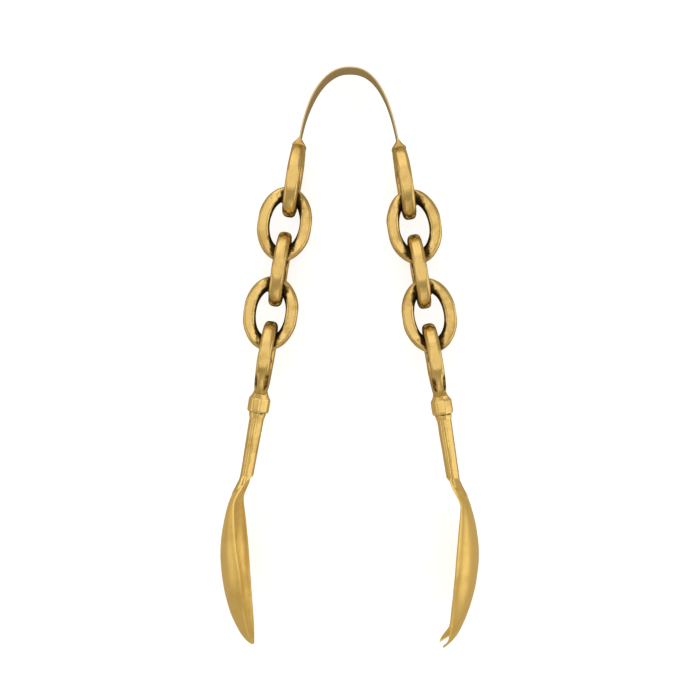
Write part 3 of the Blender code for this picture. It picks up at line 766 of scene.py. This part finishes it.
def bowl_profile(down, side):
    """A section's rim, its depth and half width outside and inside, and its twist."""
    line = RIM_REACH + math.tan(BOWL_TILT) * (down - DEEPEST)
    full = BOWL_DEPTH - BACK_CUT[side]
    deep = full - RIM_CUT[side]
    twist = 0.0
    if down < DEEPEST:
        run = max(down - ROOT, 0.0) / BOWL_NECK_RUN
        swell = math.sin(math.pi / 2 * run)
        neck = 1 - smoothstep((down - ROOT) / NECK_BLEND)
        outer = BOWL_HALF_NECK + (BOWL_HALF_WIDTH - BOWL_HALF_NECK) * swell
        inner = outer - BOWL_WALL
        twist = -math.tan(NECK_TWIST[side]) * math.sin(math.pi * run**TWIST_LEAD)
        rim = line + NECK_LIFT * neck - RIM_CUT[side] * (1 - neck) + outer * twist
        depth = rim - (line + NECK_TUCK * neck - full * swell)
        hollow = max(depth - BOWL_WALL, 0.0) * smoothstep((down - SHANK_LENGTH) / TROUGH_RUN)
    else:
        run = (down - DEEPEST) / BOWL_TIP_RUN[side]
        inner_run = min((down - DEEPEST) / (BOWL_TIP_RUN[side] - BOWL_WALL), 1.0)
        rim = line - RIM_CUT[side] + RIM_SWEEP[side] * run * run
        depth = deep * (1 - run * run) ** BOWL_CLOSING[side]
        outer = BOWL_HALF_WIDTH * math.sqrt(1 - run * run)
        hollow = (deep - BOWL_WALL) * (1 - inner_run * inner_run) ** BOWL_CLOSING[side]
        inner = (BOWL_HALF_WIDTH - BOWL_WALL) * math.sqrt(1 - inner_run * inner_run)
        inner = max(inner, outer * LEAST_INNER)
    if side == "fork":
        tine = smoothstep((down - DEEPEST - BOWL_TIP_RUN[side] + TINE_LENGTH) / TINE_LENGTH)
        rim += TINE_CURL * tine
        twist += math.tan(TINE_TWIST) * tine
    return rim, depth, outer, hollow, inner, twist


for side in SIDES:
    rim, depth, outer = bowl_profile(DEEPEST, side)[:3]
    print(side, "bowl is", round(depth / MM, 1), "deep and", round(2 * outer / MM, 1), "mm wide")

# %% [markdown]
# ## Shanks
# A shank is a faceted rod with a line scribed down its front and its back. It was scarfed,
# cut on a slant, and brazed to the neck of the bowl, and its tail spreads over the bowl's
# back. The seam was dressed flush and most of its tarnish and painted shade is taken off, so it
# hardly shows. The shank and the bowl stay two pieces, with a wafer of braze between them.

# %% Sections of a shank
SHANK_TILT = {"spoon": math.radians(-1.0), "fork": math.radians(0.7)}
SHANK_TURN = {"spoon": 0.0, "fork": math.radians(-6.5)}
SHANK_TOP_WIDTH = 6.6 * MM
SHANK_END_WIDTH = 5.8 * MM
SHANK_TAIL = 1.0 * MM
SHANK_ROWS = 24
LINE_DEPTH = 0.3 * MM
LINE_POINTS = (14, 38)  # of a section: one in front and one behind
SCARF_ANGLE = math.radians(50.0)


def shank_ring(down, side):
    """A faceted section of the shank, swollen to the back of the bowl in its tail."""
    flat = (SHANK_TOP_WIDTH + (SHANK_END_WIDTH - SHANK_TOP_WIDTH) * down / SHANK_LENGTH) / 2
    half = SHANK_TOP_WIDTH / 2 + (BOWL_HALF_NECK - SHANK_TOP_WIDTH / 2) * down / ROOT
    back, twist = flat, 0.0
    if down > ROOT:
        rim, depth, outer, _, _, twist = bowl_profile(down, side)
        back, half = max(flat, depth - rim), max(flat, outer)
    ring = []
    for i, (x, y, z) in enumerate(facet_ring(flat, down)):
        z *= (half - LINE_DEPTH if i in LINE_POINTS else half) / flat
        ring.append(((x * back / flat if x < 0 else x) + z * twist, y, z))
    return ring


def shank_body(side):
    """The whole rod, with a tail that runs on past the scarf."""
    reach = SHANK_LENGTH + BOWL_DEPTH * math.tan(SCARF_ANGLE)
    downs = [-SHANK_TAIL + (ROOT + SHANK_TAIL) * step / SHANK_ROWS for step in range(SHANK_ROWS)]
    downs += [ROOT + (reach - ROOT) * step / SHANK_ROWS for step in range(SHANK_ROWS + 1)]
    return skin([shank_ring(down, side) for down in downs])


print("a shank's section has", len(shank_ring(0.0, "spoon")), "points")

# %% Shank, seam and the frame they share with the bowl
SEAM = 0.3 * MM
WAFER_HALF = 0.6 * SEAM
WAFER_INSET = 0.03 * MM
SHANK_SEED = {"spoon": 70.0, "fork": 77.0}
scarf_normal = Vector((-math.sin(SCARF_ANGLE), math.cos(SCARF_ANGLE), 0))


def cut_scarf(bm, keeps_upper, step):
    """Cuts along the slant, a step up from the seam's middle, and closes the cut."""
    point = Vector((0, -SHANK_LENGTH, 0)) + scarf_normal * step
    bmesh.ops.bisect_plane(
        bm, geom=bm.verts[:] + bm.edges[:] + bm.faces[:], plane_co=point, plane_no=scarf_normal,
        clear_inner=keeps_upper, clear_outer=not keeps_upper,
    )
    bmesh.ops.contextual_create(bm, geom=[edge for edge in bm.edges if edge.is_boundary])


shank_frames, shank_pieces, seam_pieces = {}, {}, {}
for side in SIDES:
    turn = Matrix.Rotation(SHANK_TILT[side], 4, "Z") @ Matrix.Rotation(SHANK_TURN[side], 4, "Y")
    shank_frames[side] = arms[side] @ Matrix.Translation(ferrule_ends[side]) @ turn
    bm = shank_body(side)
    work_surface(bm, FILED_WAVE, FILED_RIPPLE, SHANK_SEED[side])
    cut_scarf(bm, True, SEAM / 2)
    shank_pieces[side] = add_piece(
        f"{side}_scarfed_shank", bm, "shank_brass", shank_frames[side], FILED_SHARP
    )
    bm = shank_body(side)
    for vert in bm.verts:
        vert.co.x -= math.copysign(WAFER_INSET, vert.co.x)
        vert.co.z -= math.copysign(WAFER_INSET, vert.co.z)
    cut_scarf(bm, True, -WAFER_HALF)
    cut_scarf(bm, False, WAFER_HALF)
    seam_pieces[side] = add_piece(f"{side}_scarf_seam", bm, "bowl_brass", shank_frames[side])
    print(side, "seam", [round(c, 4) for c in shank_frames[side] @ Vector((0, -SHANK_LENGTH, 0))])

# %% [markdown]
# ## Bowls
# The sections are skinned from the neck to the tip. Each one is the back, a rounded rim, the
# hollow face and the other rim. The fork's tip is notched afterwards with a Boolean, which
# leaves two short tines.

# %% Sections of a bowl
RIM_CROWN = 0.3 * MM
ARC_STEPS = 44
RIM_STEPS = 4


def bowl_section(down, side):
    """One section across a bowl: the back, one rim, the hollow face and the other rim."""
    rim, depth, outer, hollow, inner, twist = bowl_profile(down, side)
    crown = min(RIM_CROWN, (outer - inner) / 2)
    back, face, rims = [], [], {1: [], -1: []}
    for step in range(ARC_STEPS + 1):
        angle = math.pi * step / ARC_STEPS
        back.append((rim - depth * math.sin(angle), outer * math.cos(angle)))
        face.append((rim - hollow * math.sin(angle), inner * math.cos(angle)))
    for sign in (1, -1):
        for step in range(1, RIM_STEPS):
            share = step / RIM_STEPS
            width = outer + (inner - outer) * share
            rims[sign].append((rim + crown * math.sin(math.pi * share), sign * width))
    ring = back + rims[-1] + face[::-1] + rims[1][::-1]
    return [(x + z * twist, -down, z) for x, z in ring]


print("a bowl's section has", len(bowl_section(DEEPEST, "spoon")), "points")

# %% Notch between the tines
NOTCH_WIDTH = 5.6 * MM
NOTCH_MOUTH = 11.0 * MM
NOTCH_DEPTH = 10.0 * MM
NOTCH_STEPS = 24
WELD = 0.001 * MM


def notch_cutter():
    """A slot with a round root that opens towards the tip."""
    tip = DEEPEST + BOWL_TIP_RUN["fork"]
    radius = NOTCH_WIDTH / 2
    root, past = -(tip - NOTCH_DEPTH + radius), -(tip + radius)
    half_mouth = radius + (NOTCH_MOUTH / 2 - radius) * NOTCH_DEPTH / (NOTCH_DEPTH - radius)
    outline = [(past, half_mouth), (past, -half_mouth)]
    for step in range(NOTCH_STEPS + 1):
        angle = -math.pi / 2 + math.pi * step / NOTCH_STEPS
        outline.append((root + radius * math.cos(angle), radius * math.sin(angle)))
    middle = RIM_REACH + math.tan(BOWL_TILT) * BOWL_TIP_RUN["fork"]
    reach = BOWL_DEPTH + TINE_CURL
    return skin([[(middle + s * reach, y, z) for y, z in outline] for s in (-1, 1)])


def cut_away(piece, cutter):
    """Applies a Boolean to a piece, throws the cutter away and cleans the mesh it leaves."""
    boolean = piece.modifiers.new("notch", "BOOLEAN")
    boolean.solver = "EXACT"
    boolean.object = cutter
    graph = bpy.context.evaluated_depsgraph_get()
    whole = piece.data
    piece.data = bpy.data.meshes.new_from_object(piece.evaluated_get(graph))
    piece.data.name = whole.name
    piece.modifiers.clear()
    bpy.data.objects.remove(cutter, do_unlink=True)
    bpy.data.meshes.remove(whole)
    bm = bmesh.new()
    bm.from_mesh(piece.data)
    bmesh.ops.remove_doubles(bm, verts=bm.verts, dist=WELD)
    spare = [vert for vert in bm.verts if len(vert.link_edges) == 2]
    bmesh.ops.dissolve_verts(bm, verts=spare)
    bmesh.ops.triangulate(bm, faces=[face for face in bm.faces if len(face.verts) > 4])
    bm.to_mesh(piece.data)
    bm.free()
    print("notch cut;", len(spare), "needless points dissolved")


print("notch:", [round(size / MM, 1) for size in (NOTCH_WIDTH, NOTCH_MOUTH)], "mm at root and mouth")

# %% Spoon bowl and notched bowl
ROOT_ROWS, NECK_ROWS, TIP_ROWS = 8, 44, 34
LAST_SHARE = 0.9995  # of the way to the tip, so that the last section keeps a size
BOWL_WAVE, BOWL_RIPPLE = 0.10 * MM, 0.02 * MM
BOWL_SEED = {"spoon": 80.0, "fork": 88.0}
BOWL_SHARP = 50
start = SHANK_LENGTH - 2 * BOWL_HALF_NECK * math.tan(SCARF_ANGLE)
turns = [math.pi / 2 * step / TIP_ROWS for step in range(TIP_ROWS + 1)]
bowl_pieces = {}
for side in SIDES:
    downs = [start + (ROOT - start) * step / ROOT_ROWS for step in range(ROOT_ROWS)]
    downs += [ROOT + BOWL_NECK_RUN * step / NECK_ROWS for step in range(NECK_ROWS)]
    downs += [DEEPEST + BOWL_TIP_RUN[side] * min(math.sin(turn), LAST_SHARE) for turn in turns]
    bm = skin([bowl_section(down, side) for down in downs])
    work_surface(bm, BOWL_WAVE, BOWL_RIPPLE, BOWL_SEED[side])
    cut_scarf(bm, False, -SEAM / 2)
    bowl = add_piece(f"{side}_beaten_bowl", bm, "bowl_brass", shank_frames[side], BOWL_SHARP)
    if side == "fork":
        cutter = add_piece("notch_cutter", notch_cutter(), "bowl_brass", shank_frames[side])
        pieces.remove(cutter)
        cut_away(bowl, cutter)
        bowl.data.shade_smooth()
        bowl.data.set_sharp_from_angle(angle=math.radians(BOWL_SHARP))
    bowl_pieces[side] = bowl
    print(bowl.name, len(bowl.data.vertices), "points")

# %% [markdown]
# ## Where tarnish and painted shade gather
# Tarnish stays where a cloth cannot reach, and the shade that falls there is painted with it. For
# each point of each mesh a fan of rays looks out over the surface, and the share that soon meets
# metal is its `hollow`. How far a point stands out from its neighbours is its `edge`. Both are kept
# as attributes on the points, so the finish moves with the tongs and looks the same from every side.

# %% Hollows
RAY_COUNT = 24
RAY_REACH = 18 * MM
RAY_LIFT = 0.06 * MM
UPRIGHT = 0.9  # a normal with more Z than this takes its side direction from X
GOLDEN_ANGLE = math.pi * (3 - math.sqrt(5))


def ray_fan():
    """Directions over a dome round +Z, spread so that more of them look straight out."""
    fan = []
    for i in range(RAY_COUNT):
        out = math.sqrt((i + 0.5) / RAY_COUNT)
        turn = i * GOLDEN_ANGLE
        fan.append((out * math.cos(turn), out * math.sin(turn), math.sqrt(1 - out * out)))
    return np.array(fan)


def all_metal():
    """All the pieces as one tree of faces that rays can be cast at."""
    points, faces = [], []
    for piece in pieces:
        first = len(points)
        points.extend(v.co.copy() for v in piece.data.vertices)
        faces.extend([first + i for i in polygon.vertices] for polygon in piece.data.polygons)
    return BVHTree.FromPolygons(points, faces)


def points_and_normals(mesh):
    """A mesh's points and their normals, as two tables."""
    count = len(mesh.vertices)
    points, normals = np.empty(count * 3), np.empty(count * 3)
    mesh.vertices.foreach_get("co", points)
    mesh.vertex_normals.foreach_get("vector", normals)
    return points.reshape(-1, 3), normals.reshape(-1, 3)


def hollows(mesh, metal, fan):
    """The share of a fan of rays over each point that soon meets metal."""
    points, normals = points_and_normals(mesh)
    helper = np.where(np.abs(normals[:, 2:]) < UPRIGHT, [[0.0, 0.0, 1.0]], [[1.0, 0.0, 0.0]])
    side = np.cross(helper, normals)
    side /= np.linalg.norm(side, axis=1, keepdims=True)
    other = np.cross(normals, side)
    covered = np.zeros(len(points))
    starts = points + normals * RAY_LIFT
    for i in range(len(points)):
        rays = fan @ np.array((side[i], other[i], normals[i]))
        start = Vector(starts[i])
        for ray in rays:
            covered[i] += metal.ray_cast(start, Vector(ray), RAY_REACH)[0] is not None
    return covered / len(fan)


print(RAY_COUNT, "rays from each point look", round(RAY_REACH / MM), "mm far")

# %% Edges
EDGE_WIDTH = 1.6 * MM
TINY = 1e-9  # keeps a division away from zero


def edges_standing_out(mesh):
    """How sharply each point stands out: 0 on a flat, 1 on a ball of EDGE_WIDTH or less."""
    points, normals = points_and_normals(mesh)
    ends = np.empty(len(mesh.edges) * 2, dtype=np.int64)
    mesh.edges.foreach_get("vertices", ends)
    a, b = ends.reshape(-1, 2).T
    bend, total = np.zeros(len(points)), np.zeros(len(points))
    step = points[b] - points[a]
    length = np.linalg.norm(step, axis=1) + TINY
    for here, sign in ((a, -1), (b, 1)):
        lift = sign * (step * normals[here]).sum(1) / length**2
        np.add.at(bend, here, lift * length)
        np.add.at(total, here, length)
    return np.clip(bend / np.maximum(total, TINY) * EDGE_WIDTH, 0, 1)


sample = edges_standing_out(roofs["spoon"].data)
print("edges of a solder roof stand out by", round(float(sample.mean()), 2), "on average")

# %% [markdown]
# Three things change the rays' answer. Round the scarf seams most of the tarnish and painted shade
# is taken off, the bowls' hollows take more tarnish and painted shade than the rest, and necks and
# ferrules bring the painted shade and the lifts that were worked out with their shapes.

# %% Paint hollows and edges on every piece
# beside a scarf seam a point keeps only a small share of its tarnish and painted shade
SEAM_RUB = 1.2 * MM
SEAM_TARNISH_AND_SHADE = 0.15
# the bowls' hollows take this much more tarnish and painted shade
BOWL_PATINA_AND_SHADE = 1.5
seam_points = [vert.co.copy() for seam in seam_pieces.values() for vert in seam.data.vertices]
seams = KDTree(len(seam_points))
for i, point in enumerate(seam_points):
    seams.insert(point, i)
seams.balance()


def seam_share(mesh):
    """The share of its tarnish and painted shade that each point keeps, which is less beside a scarf
    seam.
    """
    reach = [seams.find(vert.co)[2] for vert in mesh.vertices]
    return np.array([SEAM_TARNISH_AND_SHADE if distance < SEAM_RUB else 1.0 for distance in reach])


metal = all_metal()
fan = ray_fan()
for piece in pieces:
    painted = {
        "hollow": hollows(piece.data, metal, fan) * seam_share(piece.data),
        "edge": edges_standing_out(piece.data),
    }
    # the bowls' hollows take more tarnish and painted shade, and necks and ferrules add their own
    # painted shade and lifts
    if piece in bowl_pieces.values():
        painted["hollow"] *= BOWL_PATINA_AND_SHADE
    painted["hollow"] += extra_shade_and_lift.get(piece, 0.0)
    for name, values in painted.items():
        if piece in bow_halves.values():
            # the halves touch at the crown, so its points take the values of the next row
            values[:STRIP_ROUND] = values[STRIP_ROUND : 2 * STRIP_ROUND]
        layer = piece.data.attributes.new(name, "FLOAT", "POINT")
        layer.data.foreach_set("value", values.astype(np.float32))
print("tarnish worked out for", sum(len(p.data.vertices) for p in pieces), "points")

# %% [markdown]
# ## What moves with what
# Everything below the strip rides on its arm. The finer pieces stand in for the CAD nodes,
# which stay in the physics. The two halves of the bow have their places baked into their
# points.

# %% Ride, replace and bake
for side in SIDES:
    body = f"{side}_arm"
    stands_for = {
        roofs[side]: "bow_solder", ferrule_pieces[side]: "ferrule",
        shank_pieces[side]: "shank", bowl_pieces[side]: "bowl",
    }
    for link in LINK_NAMES:
        stands_for[link_pieces[f"{side}_{link}"]] = link
    for piece, node in stands_for.items():
        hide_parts(f"{side}_{node}")
    riders = list(stands_for) + [seam_pieces[side]]
    riders += [bead for name, bead in beads.items() if name.startswith(side)]
    for piece in riders:
        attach(piece, body)
    half = bow_halves[side]
    points, _ = strip_line(side)
    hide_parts("spring_bow")
    tuple(tongs @ points[0])
    tuple(tongs @ points[-2])
    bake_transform(half)
    print(side, "arm carries", len(riders), "pieces and half of the bow")

# %% [markdown]
# ## Table and light
# The photograph was taken on white under even light. A pale floor, a slightly warm room all
# round and five large soft lamps give the same: white ground, a faint shadow and broad, soft
# highlights. Rays that the brass reflects do not see the floor. A white floor that close
# would draw a bright line along the lower side of every bar, and the photograph has none.

# %% Floor
FLOOR_HALF = 10.0
PAPER_GREY, PAPER_GLOW = 0.55, 0.72
PAPER_ROUGH, PAPER_SHEEN = 0.9, 0.1
floor_mesh = bpy.data.meshes.new("pale_floor")
corners = [(x * FLOOR_HALF, y * FLOOR_HALF, 0) for x, y in ((-1, -1), (1, -1), (1, 1), (-1, 1))]
floor_mesh.from_pydata(corners, [], [(0, 1, 2, 3)])
floor = bpy.data.objects.new("pale_floor", floor_mesh)
bpy.context.scene.collection.objects.link(floor)
paper = bpy.data.materials.new("pale_paper")
paper.use_nodes = True
paper_shader = paper.node_tree.nodes["Principled BSDF"]
paper_shader.inputs["Base Color"].default_value = opaque((PAPER_GREY,) * 3)
paper_shader.inputs["Emission Color"].default_value = opaque((1.0, 1.0, 1.0))
paper_shader.inputs["Emission Strength"].default_value = PAPER_GLOW
paper_shader.inputs["Roughness"].default_value = PAPER_ROUGH
paper_shader.inputs["Specular IOR Level"].default_value = PAPER_SHEEN
floor_mesh.materials.append(paper)
floor.visible_glossy = False
print("floor of", round(floor.dimensions.x, 1), "m")

# %% Room and lamps
ROOM_COLOUR, ROOM_STRENGTH = (1.0, 0.93, 0.78), 0.47
LAMP_AIM = Vector((0, 0, 0.02))
LAMPS = (  # name, place in metres, side in metres, watts
    ("top_lamp", (-0.05, 0.20, 1.25), 1.2, 3.0),
    ("window_lamp", (-0.20, 1.10, 0.58), 1.2, 3.8),
    ("right_lamp", (1.10, -0.15, 0.40), 1.2, 3.4),
    ("left_lamp", (-1.10, 0.0, 0.40), 1.1, 1.7),
    ("low_lamp", (0.05, -1.15, 0.55), 0.8, 1.0),
)
world = bpy.data.worlds.new("bright_room")
bpy.context.scene.world = world
world.use_nodes = True
sky = world.node_tree.nodes["Background"]
sky.inputs["Color"].default_value = opaque(ROOM_COLOUR)
sky.inputs["Strength"].default_value = ROOM_STRENGTH


def soft_lamp(name, place, size, watts):
    """A square lamp that faces the tongs."""
    data = bpy.data.lights.new(name, "AREA")
    data.size = size
    data.energy = watts
    lamp = bpy.data.objects.new(name, data)
    lamp.location = place
    lamp.rotation_euler = (LAMP_AIM - Vector(place)).to_track_quat("-Z", "Y").to_euler()
    bpy.context.scene.collection.objects.link(lamp)
    print(name, "of", watts, "watts")


for lamp in LAMPS:
    soft_lamp(*lamp)
bpy.context.scene.view_settings.view_transform = "Standard"

# %% [markdown]
# ## Last update
# The finer pieces must fill the same box as the CAD model. Here the view layer is only
# brought up to date once more.

# %% Bring the view layer up to date
bpy.context.view_layer.update()
